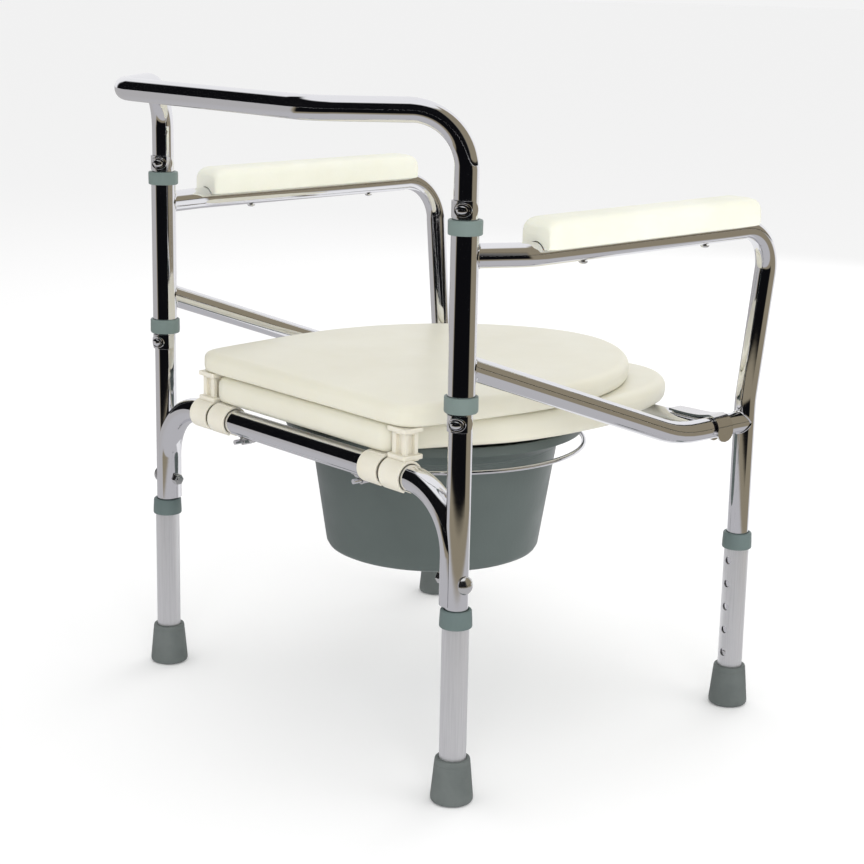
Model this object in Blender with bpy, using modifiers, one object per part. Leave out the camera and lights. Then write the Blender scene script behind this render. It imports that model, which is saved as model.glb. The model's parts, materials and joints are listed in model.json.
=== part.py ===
"""Commode chair: chromed folding frame, moulded seat and lid, lift-out pail.

Lengths below are in millimetres and are turned into metres by MM.
The rear uprights stand in the plane y = 0 of these lengths, the sitter faces -y,
and REAR_Y moves everything so that the object's box is centred on the origin.
"""
import math

import bmesh
import bpy
from mathutils import Matrix, Vector

MM = 0.001

# ---- driving dimensions (mm) ------------------------------------------------
REAR_Y = 157.0            # rear uprights' plane, measured from the object's centre
UPRIGHT_X = 237.2         # half the distance between the upright tubes' axes
LEG_Y = -396.5            # front legs' axis
INNER_R = 11.1            # 22.2 mm chromed tube
OUTER_R = 12.7            # 25.4 mm chromed tube
INNER_WALL = 1.2
OUTER_WALL = 0.95
GAP = 0.3

BACK_TOP_Z = 637.0        # backrest tube's axis
BACK_Y = 105.0            # how far the backrest stands behind the uprights
BACK_HALF = 149.0         # half length of its straight part, corner to corner
ARM_Z = 511.5
ARM_X = 257.0             # the arms stand outside the uprights by 20 mm
BRACE_Z = 309.0
BRACE_TOP_Z = 414.6
BRACE_KNEE_Y = -293.0
CROSSBAR_Z = 297.0        # seat hinge axis
CROSSBAR_LEG_X = 232.2
FRONT_BAR_Y = -351.0
FRONT_BAR_Z = 306.0
BOLT_Z = 212.6

TOP_BUSH = (530.5, 544.0)
LOW_BUSH = (372.0, 387.0)
REAR_COLLAR_TOP = 188.0
FRONT_COLLAR_TOP = 190.0
HOLE_TOP_Z = 160.1
HOLE_PITCH = 25.4
HOLE_COUNT = 5
HOLE_R = 4.0

SEAT_LOW_Z = 313.3
SEAT_TOP_Z = 342.2
LID_LOW_Z = 342.8
LID_TOP_Z = 366.0
PAIL_Y = -179.0
RING_Z = 279.0
RING_R = 157.5
RING_EYE_X = 97.0
WIRE_R = 2.5
CLIP_Y = -6.0

SIDES = (("left", 1), ("right", -1))   # the sitter's left is +X


# ---- scene, collections and materials ---------------------------------------
for old in list(bpy.data.objects):
    bpy.data.objects.remove(old, do_unlink=True)

chair = bpy.data.collections.new("commode_chair")
cutters = bpy.data.collections.new("cutters")
bpy.context.scene.collection.children.link(chair)
bpy.context.scene.collection.children.link(cutters)


def make_material(name, colour, roughness, metallic):
    """A Principled BSDF material with one flat colour."""
    mat = bpy.data.materials.new(name)
    mat.use_nodes = True
    shader = mat.node_tree.nodes["Principled BSDF"]
    shader.inputs["Base Color"].default_value = (*colour, 1.0)
    shader.inputs["Roughness"].default_value = roughness
    shader.inputs["Metallic"].default_value = metallic
    mat.diffuse_color = (*colour, 1.0)
    return mat


CHROME = make_material("chrome", (0.80, 0.80, 0.82), 0.08, 1.0)
SATIN = make_material("satin_tube", (0.62, 0.62, 0.64), 0.32, 1.0)
STEEL = make_material("fastener_steel", (0.60, 0.60, 0.61), 0.25, 1.0)
BUSH = make_material("bush_plastic", (0.27, 0.34, 0.33), 0.5, 0.0)
RUBBER = make_material("foot_rubber", (0.17, 0.19, 0.18), 0.75, 0.0)
IVORY = make_material("ivory_plastic", (0.83, 0.80, 0.70), 0.42, 0.0)
CLAMP = make_material("clamp_plastic", (0.78, 0.74, 0.64), 0.5, 0.0)
FOAM = make_material("arm_foam", (0.86, 0.85, 0.76), 0.6, 0.0)
PAIL = make_material("pail_plastic", (0.11, 0.13, 0.125), 0.45, 0.0)


# ---- helpers ----------------------------------------------------------------
def at(x, y, z):
    """A point in metres from millimetres measured off the rear uprights' plane."""
    return Vector((x, y + REAR_Y, z)) * MM


def add(name, mesh, mat=None, location=(0, 0, 0), smooth=False, where=None):
    """Link one named object for a mesh."""
    obj = bpy.data.objects.new(name, mesh)
    obj.location = location
    (where or chair).objects.link(obj)
    if mat:
        mesh.materials.append(mat)
    for poly in mesh.polygons:
        poly.use_smooth = smooth
    return obj


def axis_empty(name, location, parent=None):
    """An empty on a joint's axis, for the pieces that move about it."""
    obj = bpy.data.objects.new(name, None)
    obj.empty_display_size = 0.05
    chair.objects.link(obj)
    obj.location = location
    if parent:
        hang(obj, parent)
    return obj


def hang(obj, parent):
    """Parent an object and keep it where it stands."""
    bpy.context.view_layer.update()
    obj.parent = parent
    obj.matrix_parent_inverse = parent.matrix_world.inverted()


def mesh_from(name, verts, faces):
    """A mesh from metre coordinates with its normals made consistent."""
    mesh = bpy.data.meshes.new(name)
    mesh.from_pydata([tuple(v) for v in verts], [], faces)
    bm = bmesh.new()
    bm.from_mesh(mesh)
    bmesh.ops.recalc_face_normals(bm, faces=bm.faces)
    bm.to_mesh(mesh)
    bm.free()
    mesh.update()
    return mesh


def filleted(corners, step=18.0):
    """Round the corners of a polyline; each corner is (point, fillet radius)."""
    path = [corners[0][0]]
    for before, (corner, radius), after in zip(corners, corners[1:], corners[2:]):
        into = (corner - before[0]).normalized()
        out = (after[0] - corner).normalized()
        turn = into.angle(out)
        if radius <= 0 or turn < 1e-4:
            path.append(corner)
            continue
        reach = radius * math.tan(turn / 2)
        side = (out - into * into.dot(out)).normalized()
        centre = corner - into * reach + side * radius
        count = max(2, math.ceil(math.degrees(turn) / step))
        for i in range(count + 1):
            a = turn * i / count
            path.append(centre - side * radius * math.cos(a) + into * radius * math.sin(a))
    path.append(corners[-1][0])
    return path


def swept(name, path, radius, sides=16, caps=False):
    """Mesh of a round section swept along a path, from a bevelled curve."""
    data = bpy.data.curves.new(name, "CURVE")
    data.dimensions = "3D"
    data.twist_mode = "MINIMUM"
    data.bevel_depth = radius * MM
    data.bevel_resolution = (sides - 4) // 2
    data.use_fill_caps = caps
    spline = data.splines.new("POLY")
    spline.points.add(len(path) - 1)
    for point, place in zip(spline.points, path):
        point.co = (*(place - path[0]), 1.0)
    curve = bpy.data.objects.new(name + "_curve", data)
    chair.objects.link(curve)
    bpy.context.view_layer.update()
    shape = curve.evaluated_get(bpy.context.evaluated_depsgraph_get())
    mesh = bpy.data.meshes.new_from_object(shape)
    mesh.name = name
    bpy.data.objects.remove(curve, do_unlink=True)
    bm = bmesh.new()
    bm.from_mesh(mesh)
    bmesh.ops.remove_doubles(bm, verts=bm.verts, dist=1e-6)
    bmesh.ops.recalc_face_normals(bm, faces=bm.faces)
    bm.to_mesh(mesh)
    bm.free()
    mesh.materials.clear()
    return mesh


def tube(name, corners, radius, wall, mat, sides=12, step=18.0):
    """A hollow bent tube with open ends: swept surface and inward Solidify."""
    path = filleted(corners, step)
    obj = add(name, swept(name, path, radius, sides), mat, path[0], smooth=True)
    shell = obj.modifiers.new("wall", "SOLIDIFY")
    shell.thickness = wall * MM
    shell.offset = -1.0
    shell.use_even_offset = True
    return obj


def rod(name, corners, radius, mat, sides=12, step=15.0):
    """A solid bent wire or bar."""
    path = filleted(corners, step)
    mesh = swept(name, path, radius, sides, caps=True)
    return add(name, mesh, mat, path[0], smooth=True)


def lathe(name, profile, place, mat, segments=20, closed=True):
    """Turn a profile of (radius, height) about Z, running down the outer side."""
    count = len(profile)
    verts = [(r * MM, 0.0, z * MM) for r, z in profile]
    edges = [(i, i + 1) for i in range(count - 1)]
    if closed:
        edges.append((count - 1, 0))
    mesh = bpy.data.meshes.new(name)
    mesh.from_pydata(verts, edges, [])
    obj = add(name, mesh, mat, place)
    turn = obj.modifiers.new("turn", "SCREW")
    turn.axis = "Z"
    turn.angle = math.tau
    turn.steps = segments
    turn.render_steps = segments
    turn.use_merge_vertices = True
    turn.merge_threshold = 1e-5
    turn.use_smooth_shade = True
    return obj


def cylinder(name, start, end, radius, mat=None, sides=24, where=None):
    """A straight cylinder between two points."""
    bm = bmesh.new()
    length = (end - start).length
    bmesh.ops.create_cone(bm, cap_ends=True, segments=sides, radius1=radius * MM,
                          radius2=radius * MM, depth=length)
    mesh = bpy.data.meshes.new(name)
    bm.to_mesh(mesh)
    bm.free()
    obj = add(name, mesh, mat, (start + end) / 2, where=where)
    obj.rotation_mode = "QUATERNION"
    obj.rotation_quaternion = (end - start).to_track_quat("Z", "Y")
    return obj


def cut(obj, cutter, operation="DIFFERENCE"):
    """Add a Boolean and put the other shape away with the cutters."""
    for holder in list(cutter.users_collection):
        holder.objects.unlink(cutter)
    cutters.objects.link(cutter)
    cutter.hide_render = True
    cutter.display_type = "WIRE"
    change = obj.modifiers.new(cutter.name, "BOOLEAN")
    change.operation = operation
    change.solver = "EXACT"
    change.object = cutter


def prism(name, outline, axis, low, high, mat=None, place=(0, 0, 0), smooth=False):
    """Push a flat outline (mm) along an axis from low to high."""
    def lift(u, v, w):
        order = {"X": (w, u, v), "Y": (u, w, v), "Z": (u, v, w)}
        return Vector(order[axis]) * MM

    count = len(outline)
    verts = [lift(u, v, low) for u, v in outline] + [lift(u, v, high) for u, v in outline]
    faces = [tuple(range(count)), tuple(range(count, 2 * count))]
    for i in range(count):
        j = (i + 1) % count
        faces.append((i, j, count + j, count + i))
    return add(name, mesh_from(name, verts, faces), mat, place, smooth)


def rounded_box(half_u, half_v, radius, steps=3):
    """Outline of a rectangle with round corners."""
    points = []
    for su, sv, start in ((1, 1, 0), (-1, 1, 90), (-1, -1, 180), (1, -1, 270)):
        for i in range(steps + 1):
            a = math.radians(start + 90 * i / steps)
            points.append((su * (half_u - radius) + radius * math.cos(a),
                           sv * (half_v - radius) + radius * math.sin(a)))
    return points


def arc(radius, first, last, count, centre=(0.0, 0.0)):
    """Points along an arc, angles in degrees."""
    points = []
    for i in range(count + 1):
        a = math.radians(first + (last - first) * i / count)
        points.append((centre[0] + radius * math.cos(a), centre[1] + radius * math.sin(a)))
    return points


def strap(name, rows, thickness, mat, place=(0, 0, 0)):
    """A bent sheet strip: rows of points skinned, then thickened by Solidify."""
    width = len(rows[0])
    verts = [Vector(p) * MM for row in rows for p in row]
    faces = []
    for r in range(len(rows) - 1):
        for c in range(width - 1):
            a = r * width + c
            faces.append((a, a + 1, a + 1 + width, a + width))
    obj = add(name, mesh_from(name, verts, faces), mat, place)
    shell = obj.modifiers.new("sheet", "SOLIDIFY")
    shell.thickness = thickness * MM
    shell.offset = 0.0
    shell.use_even_offset = True
    return obj


def ring_stack(name, rings, mat, closed_loop, smooth=True):
    """Skin rings of points; join last to first, or fill both ends."""
    count = len(rings[0])
    verts = [p for ring in rings for p in ring]
    faces = []
    spans = len(rings) if closed_loop else len(rings) - 1
    for r in range(spans):
        s = (r + 1) % len(rings)
        for i in range(count):
            j = (i + 1) % count
            faces.append((r * count + i, r * count + j, s * count + j, s * count + i))
    if not closed_loop:
        faces.append(tuple(range(count)))
        faces.append(tuple(range((len(rings) - 1) * count, len(rings) * count)))
    return add(name, mesh_from(name, verts, faces), mat, smooth=smooth)


def smooth_outline(half, count):
    """Evenly spaced closed outline through the points of one half, mirrored."""
    full = list(half) + [(-x, y) for x, y in reversed(half[1:-1])]
    size = len(full)
    dense = []
    for i in range(size):
        p0, p1, p2, p3 = (Vector(full[(i + k) % size]) for k in (-1, 0, 1, 2))
        for s in range(8):
            t = s / 8
            dense.append(0.5 * (2 * p1 + (p2 - p0) * t + (2 * p0 - 5 * p1 + 4 * p2 - p3) * t ** 2
                                + (3 * p1 - p0 - 3 * p2 + p3) * t ** 3))
    lengths = [(dense[(i + 1) % len(dense)] - dense[i]).length for i in range(len(dense))]
    total = sum(lengths)
    points = []
    index, walked = 0, 0.0
    for k in range(count):
        target = total * k / count
        while walked + lengths[index] < target:
            walked += lengths[index]
            index += 1
        step = (target - walked) / lengths[index]
        points.append(dense[index].lerp(dense[(index + 1) % len(dense)], step))
    return points


def inset(points, distance):
    """Move a closed outline inwards by a distance."""
    size = len(points)
    moved = []
    for i in range(size):
        along = (points[(i + 1) % size] - points[i - 1]).normalized()
        inward = Vector((-along.y, along.x))
        if inward.dot(Vector((0.0, -190.0)) - points[i]) < 0:
            inward = -inward
        moved.append(points[i] + inward * distance)
    return moved


def level(points, height, lift=None):
    """Turn a flat outline into points at a height, with an optional lift."""
    return [at(p.x, p.y, height + (lift(p) if lift else 0.0)) for p in points]


# ---- rear frame: backrest tube, seat crossbar and their bolts -----------------
corners = [(at(-UPRIGHT_X, 0, 45.0), 0),
           (at(-UPRIGHT_X, 0, BACK_TOP_Z), 0.050),
           (at(-BACK_HALF, BACK_Y, BACK_TOP_Z), 0.045),
           (at(BACK_HALF, BACK_Y, BACK_TOP_Z), 0.045),
           (at(UPRIGHT_X, 0, BACK_TOP_Z), 0.050),
           (at(UPRIGHT_X, 0, 45.0), 0)]
rear_tube = tube("rear_frame_tube", corners, INNER_R, INNER_WALL, CHROME)

corners = [(at(-CROSSBAR_LEG_X, 0, 190.8), 0),
           (at(-CROSSBAR_LEG_X, 0, CROSSBAR_Z), 0.060),
           (at(CROSSBAR_LEG_X, 0, CROSSBAR_Z), 0.060),
           (at(CROSSBAR_LEG_X, 0, 190.8), 0)]
crossbar = tube("seat_crossbar", corners, OUTER_R, 1.5, CHROME)

for side, s in SIDES:
    post = cylinder("cut_upright_" + side, at(s * UPRIGHT_X, 0, 180), at(s * UPRIGHT_X, 0, 330),
                    INNER_R + GAP, sides=32)
    cut(crossbar, post)
    for target, label in ((rear_tube, "upright"), (crossbar, "crossbar")):
        drill = cylinder("cut_bolt_%s_%s" % (label, side), at(s * (UPRIGHT_X + 16), 0, BOLT_Z),
                         at(s * (UPRIGHT_X - 30), 0, BOLT_Z), 3.4, sides=16)
        cut(target, drill)
    # carriage bolt: domed head outside, shank through both tubes, nut inside
    head = [(0, 16.9), (4.0, 16.3), (7.2, 14.4), (8.6, 12.2), (8.6, 11.5), (3.0, 11.5),
            (3.0, -23.5), (0, -23.5)]
    bolt = lathe("frame_bolt_" + side, head, at(s * UPRIGHT_X, 0, BOLT_Z), STEEL, 16, False)
    bolt.rotation_euler = (0, s * math.pi / 2, 0)
    hexagon = [(6.2 * math.cos(math.radians(a)), 6.2 * math.sin(math.radians(a)))
               for a in range(0, 360, 60)]
    nut = prism("frame_nut_" + side, hexagon, "X", -2.6, 2.6, STEEL,
                at(s * (UPRIGHT_X - 20.8), 0, BOLT_Z))
    cut(nut, cylinder("cut_nut_" + side, at(s * (UPRIGHT_X - 30), 0, BOLT_Z),
                      at(s * (UPRIGHT_X - 10), 0, BOLT_Z), 3.35, sides=16))

# ---- side frames: sleeve, arm and leg tube, brace ------------------------------
arm_tubes = {}
for side, s in SIDES:
    x = s * UPRIGHT_X
    sleeve = lathe("sleeve_" + side,
                   [(OUTER_R, 541.0), (OUTER_R, 375.0), (11.75, 375.0), (11.75, 541.0)],
                   at(x, 0, 0), CHROME)
    for label, low, top, lip in (("upper", TOP_BUSH[0], TOP_BUSH[1], 1),
                                 ("lower", LOW_BUSH[0], LOW_BUSH[1], -1)):
        if lip > 0:
            profile = [(11.7, top), (14.6, top), (15.4, top - 0.9), (15.5, low + 0.7),
                       (15.0, low), (13.1, low), (13.1, 541.3), (11.7, 541.3)]
        else:
            profile = [(13.1, top), (15.0, top), (15.5, top - 0.7), (15.4, low + 0.9),
                       (14.6, low), (11.7, low), (11.7, 374.7), (13.1, 374.7)]
        lathe("%s_bush_%s" % (label, side), profile, at(x, 0, 0), BUSH)

    corners = [(at(x, 0, ARM_Z), 0),
               (at(s * ARM_X, -62, ARM_Z - 1.0), 0.060),
               (at(s * ARM_X, LEG_Y - 1.0, ARM_Z + 3.0), 0.048),
               (at(x, LEG_Y, 332.0), 0.130),
               (at(x, LEG_Y, 45.0), 0)]
    arm = tube("arm_leg_tube_" + side, corners, INNER_R, INNER_WALL, CHROME)
    cut(arm, cylinder("cut_arm_" + side, at(x, 0, 480), at(x, 0, 535), OUTER_R + GAP, sides=32))
    arm_tubes[side] = arm

    corners = [(at(x, 0, BRACE_TOP_Z), 0),
               (at(x, BRACE_KNEE_Y, BRACE_Z), 0.150),
               (at(x, LEG_Y, BRACE_Z), 0)]
    brace = tube("brace_tube_" + side, corners, INNER_R, INNER_WALL, CHROME)
    cut(brace, cylinder("cut_brace_top_" + side, at(x, 0, 385), at(x, 0, 450),
                        OUTER_R + GAP, sides=32))
    cut(brace, cylinder("cut_brace_leg_" + side, at(x, LEG_Y, 280), at(x, LEG_Y, 335),
                        INNER_R + 0.5, sides=32))

# ---- front crossbar and its two saddle hooks -----------------------------------
reach = UPRIGHT_X - 4.0
corners = [(at(-reach, FRONT_BAR_Y, FRONT_BAR_Z), 0), (at(reach, FRONT_BAR_Y, FRONT_BAR_Z), 0)]
front_bar = tube("front_crossbar", corners, INNER_R, INNER_WALL, CHROME)
for side, s in SIDES:
    x = s * UPRIGHT_X
    cut(front_bar, cylinder("cut_front_bar_" + side, at(x, FRONT_BAR_Y + 40, BRACE_Z),
                            at(x, FRONT_BAR_Y - 40, BRACE_Z), INNER_R + GAP, sides=32))
    # strip: flat on the bar, over the brace, then a round tongue outside it
    mid = INNER_R + 0.4 + 1.25
    line = [(-56.0, FRONT_BAR_Z + INNER_R + 1.6), (-24.0, FRONT_BAR_Z + INNER_R + 1.6)]
    line += [(u, v + BRACE_Z) for u, v in arc(mid, 112, 0, 7)]
    line += [(mid, BRACE_Z - drop) for drop in (3.0, 6.0, 8.5, 10.8, 12.5, 13.3)]
    halves = [11.0] * (len(line) - 6) + [11.0, 10.6, 9.0, 7.0, 4.6, 2.0]
    rows = [[(s * u, w * half, v) for w in (-1, -0.5, 0, 0.5, 1)]
            for (u, v), half in zip(line, halves)]
    strap("crossbar_hook_" + side, rows, 2.3, CHROME, at(x, FRONT_BAR_Y, 0))

# ---- spring clips that hold the bushes -----------------------------------------
for side, s in SIDES:
    for label, z in (("upper", 553.2), ("lower", 362.8)):
        rows = []
        heights = (3.0, 6.2, 7.6) + (7.8,) * 12 + (7.6, 6.2, 3.0)
        for i, half in enumerate(heights):
            a = math.radians(-45 + 270 * i / (len(heights) - 1))
            u, v = 12.4 * math.cos(a), 12.4 * math.sin(a)
            rows.append([(u, v, z + w * half) for w in (-1, 0, 1)])
        strap("%s_clip_%s" % (label, side), rows, 1.5, CHROME, at(s * UPRIGHT_X, 0, 0))

# ---- height-adjusting legs: extension, collar, foot and snap button ------------
for row, y, top, face in (("rear", 0.0, REAR_COLLAR_TOP, -1), ("front", LEG_Y, FRONT_COLLAR_TOP, 1)):
    for side, s in SIDES:
        x = s * UPRIGHT_X
        name = "%s_%s" % (row, side)
        travel = axis_empty("leg_axis_" + name, at(x, y, 0))
        sleeve = lathe("leg_extension_" + name,
                       [(OUTER_R, top - 3.6), (OUTER_R, 8.0), (11.75, 8.0), (11.75, top - 3.6)],
                       at(x, y, 0), SATIN)
        drills = []
        for k in range(HOLE_COUNT):
            z = HOLE_TOP_Z - k * HOLE_PITCH
            cut(sleeve, cylinder("cut_hole_%s_%d" % (name, k), at(x, y + face * 6.0, z),
                                 at(x, y + face * 16.0, z), HOLE_R, sides=12))
        low = top - 17.0
        collar = lathe("leg_collar_" + name,
                       [(11.7, top), (13.4, top), (14.7, top - 1.0), (15.3, low + 0.9),
                        (14.6, low), (13.1, low), (13.1, top - 3.3), (11.7, top - 3.3)],
                       at(x, y, 0), BUSH)
        foot = lathe("rubber_foot_" + name,
                     [(0, 7.7), (13.1, 7.7), (13.1, 43.0), (15.6, 43.0), (16.6, 42.0),
                      (19.9, 8.0), (20.2, 4.0), (18.9, 1.0), (17.4, 0.0), (0, 0.0)],
                     at(x, y, 0), RUBBER, closed=False)
        button_z = HOLE_TOP_Z - (HOLE_COUNT - 1) * HOLE_PITCH
        press = axis_empty("button_axis_" + name, at(x, y, button_z))
        button = lathe("snap_button_" + name,
                       [(0, 11.4), (1.8, 11.2), (3.3, 10.0), (3.3, 8.2), (4.4, 8.2),
                        (4.4, 7.2), (0, 7.2)],
                       at(x, y, button_z), STEEL, 12, False)
        button.rotation_euler = (-face * math.pi / 2, 0, 0)
        inner = rear_tube if row == "rear" else arm_tubes[side]
        cut(inner, cylinder("cut_button_" + name, at(x, y + face * 6.0, button_z),
                            at(x, y + face * 16.0, button_z), 3.8, sides=16))
        for piece in (sleeve, collar, foot):
            hang(piece, travel)
        hang(button, press)

# ---- arm pads with their screws --------------------------------------------------
PAD_REAR = -67.0
PAD_LOW = 515.4
PAD_HEIGHT = 27.5
PAD_RISE = 0.011          # the arm climbs a little towards the front
PAD_HALF = 22.0
for side, s in SIDES:
    x = s * ARM_X
    stations = ((0.0, 0.78, 0.72), (2.5, 0.91, 0.87), (7.0, 0.985, 0.965), (15.0, 1.0, 1.0),
                (272.0, 1.0, 1.0), (281.0, 0.985, 0.96), (286.5, 0.90, 0.84),
                (290.0, 0.74, 0.60))
    rings = []
    for along, wide, tall in stations:
        half = PAD_HALF * wide
        high = PAD_HEIGHT * tall
        floor = PAD_LOW + PAD_RISE * along
        outline = [(-half + 2.2, 0.0), (-half, 2.2), (-half, high * 0.62)]
        outline += [(-half + 2.6, high * 0.86), (-half + 8.5, high * 0.985), (0.0, high)]
        outline += [(half - 8.5, high * 0.985), (half - 2.6, high * 0.86)]
        outline += [(half, high * 0.62), (half, 2.2), (half - 2.2, 0.0)]
        outline += [(11.3, 0.0), (9.4, 3.1), (6.8, 5.4), (3.5, 6.8), (0.0, 7.2)]
        outline += [(-3.5, 6.8), (-6.8, 5.4), (-9.4, 3.1), (-11.3, 0.0)]
        rings.append([at(x + u, PAD_REAR - along, floor + v) for u, v in outline])
    pad = ring_stack("arm_pad_" + side, rings, FOAM, False)
    for k, y in enumerate((-128.0, -296.0)):
        name = "%s_%d" % (side, k + 1)
        for target, label in ((arm_tubes[side], "tube"), (pad, "pad")):
            cut(target, cylinder("cut_screw_%s_%s" % (label, name), at(x, y, 490),
                                 at(x, y, 530.5), 2.3, sides=12))
        lathe("pad_screw_" + name,
              [(0, 26.0), (1.9, 26.0), (1.9, -0.5), (4.4, -0.5), (4.2, -1.9), (2.4, -2.8),
               (0, -3.0)],
              at(x, y, ARM_Z - 12.0 + PAD_RISE * (-80.0 - y)), STEEL, 10, False)

# ---- seat and lid ------------------------------------------------------------------
seat_axis = axis_empty("seat_axis", at(0, 0, CROSSBAR_Z))
lid_axis = axis_empty("lid_axis", at(0, 0, CROSSBAR_Z), seat_axis)

SEAT_HALF = [(0, 5.0), (60, 5.0), (120, 5.0), (135, 2.5), (140.5, -6), (141, -16), (146, -32), (154, -52),
             (167, -84), (180, -120), (187, -160), (189, -205), (187, -250), (180, -295),
             (168, -335), (150, -370), (122, -398), (85, -417), (43, -427), (0, -430)]
HOLE_HALF = [(0, -62), (50, -68), (88, -92), (110, -135), (117, -190), (113, -245), (95, -300),
             (62, -342), (28, -360), (0, -364)]
LID_HALF = [(0, 5.5), (70, 5.5), (138, 5.5), (159, 3), (169, -8), (174, -34), (180, -80),
            (186, -130), (187.5, -177), (182, -225), (168, -270), (146, -312), (115, -350),
            (76, -380), (36, -398), (0, -403)]
RIM_POINTS = 48
POST_X, POST_Y = 154.2, -6.5


def front_dip(p):
    """The seat's top sinks a little at the middle of its front."""
    forward = min(1.0, max(0.0, (-330.0 - p.y) / 70.0))
    return -7.0 * forward * math.exp(-(p.x / 75.0) ** 2)


def front_rise(p):
    """The seat's underside clears the front crossbar."""
    return 5.0 * min(1.0, max(0.0, (-262.0 - p.y) / 20.0))


outer = smooth_outline(SEAT_HALF, RIM_POINTS)
hole = smooth_outline(HOLE_HALF, RIM_POINTS)
rings = [level(inset(outer, 9.0), SEAT_LOW_Z, front_rise),
         level(inset(outer, 3.0), SEAT_LOW_Z + 2.2, front_rise),
         level(inset(outer, 0.4), SEAT_LOW_Z + 8.0),
         level(outer, SEAT_TOP_Z - 11.0, front_dip),
         level(inset(outer, 2.4), SEAT_TOP_Z - 3.6, front_dip),
         level(inset(outer, 8.0), SEAT_TOP_Z - 0.4, front_dip),
         level(inset(outer, 16.0), SEAT_TOP_Z, front_dip),
         level(inset(hole, -9.0), SEAT_TOP_Z - 1.0, front_dip),
         level(inset(hole, -2.0), SEAT_TOP_Z - 6.0, front_dip),
         level(hole, SEAT_TOP_Z - 13.0),
         level(inset(hole, -1.0), SEAT_LOW_Z + 3.0, front_rise),
         level(inset(hole, -4.0), SEAT_LOW_Z, front_rise)]
seat = ring_stack("seat_ring", rings, IVORY, True)
hang(seat, seat_axis)

outer = smooth_outline(LID_HALF, RIM_POINTS)
rings = [level(inset(outer, 5.0), LID_LOW_Z),
         level(inset(outer, 1.2), LID_LOW_Z + 1.8),
         level(outer, LID_LOW_Z + 7.0),
         level(inset(outer, 0.6), LID_TOP_Z - 7.0),
         level(inset(outer, 3.2), LID_TOP_Z - 2.6),
         level(inset(outer, 8.0), LID_TOP_Z - 0.7),
         level(inset(outer, 18.0), LID_TOP_Z)]
lid = ring_stack("lid", rings, IVORY, False)
hang(lid, lid_axis)


def ring_clamp(name, x_low, x_high, mat):
    """A snap-on C clamp round the crossbar, open to the front and below."""
    outline = arc(15.6, 265, -65, 18) + arc(13.2, -65, 265, 18)
    return prism(name, outline, "X", x_low, x_high, mat, at(0, 0, CROSSBAR_Z))


def join_block(obj, name, half_u, half_v, radius, centre, low, high):
    """Union an upright block with rounded corners into a clamp."""
    block = prism(name, rounded_box(half_u, half_v, radius), "Z", low, high, None, centre)
    cut(obj, block, "UNION")


for side, s in SIDES:
    clamp = ring_clamp("seat_clamp_" + side, *sorted((s * 109.5, s * 137.2)), CLAMP)
    centre = at(s * 123.4, -1.0, CROSSBAR_Z)
    join_block(clamp, "neck_seat_" + side, 11.0, 6.0, 2.0, centre, 13.9, 15.0)
    join_block(clamp, "plate_seat_" + side, 12.5, 5.6, 2.0, centre, 14.4, 16.0)
    hang(clamp, seat_axis)

    hinge = ring_clamp("lid_hinge_" + side, *sorted((s * 141.8, s * 169.6)), CLAMP)
    centre = at(s * POST_X, POST_Y, CROSSBAR_Z)
    join_block(hinge, "plate_low_" + side, 13.3, 11.6, 2.0, centre, 14.4, 19.6)
    join_block(hinge, "post_lid_" + side, 9.5, 8.0, 0.8, centre, 19.0, 42.0)
    join_block(hinge, "plate_top_" + side, 13.3, 11.8, 2.0, centre, 41.0, 45.5)
    for face, u, v, half_u, half_v in (("rear", 0, 8.2, 3.5, 4.4), ("front", 0, -8.2, 3.5, 4.4),
                                       ("left", 9.7, 0, 4.6, 3.0), ("right", -9.7, 0, 4.6, 3.0)):
        slot = prism("cut_post_%s_%s" % (face, side), rounded_box(half_u, half_v, 0.4, 1), "Z",
                     21.0, 39.4, None, at(s * POST_X + u, POST_Y + v, CROSSBAR_Z))
        cut(hinge, slot)
    hang(hinge, lid_axis)

# ---- pail, its wire ring and the ring's fixings ---------------------------------
pail_axis = axis_empty("pail_axis", at(0, PAIL_Y, RING_Z))
pail = lathe("pail",
             [(0, 164.0), (104.0, 164.0), (110.3, 167.2), (126.8, 270.0), (128.6, 281.5),
              (151.5, 296.0), (151.5, 301.2), (154.5, 303.0), (156.3, 301.0), (156.3, 294.0),
              (154.0, 293.0), (130.6, 279.8), (130.9, 278.4), (128.9, 276.5), (113.2, 168.0),
              (111.0, 163.4), (106.0, 161.6), (0, 161.6)],
             at(0, PAIL_Y, 0), PAIL, 40, False)
hang(pail, pail_axis)

bend = [(at(u, v, RING_Z)) for u, v in arc(RING_R, 40, -220, 30, (0.0, PAIL_Y))]
corners = [(at(RING_EYE_X, 9, RING_Z), 0), (at(RING_EYE_X, -49.7, RING_Z), 0.040)]
corners += [(p, 0) for p in bend]
corners += [(at(-RING_EYE_X, -49.7, RING_Z), 0.040), (at(-RING_EYE_X, 9, RING_Z), 0)]
rod("pail_ring", corners, WIRE_R, CHROME, 8)

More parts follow.
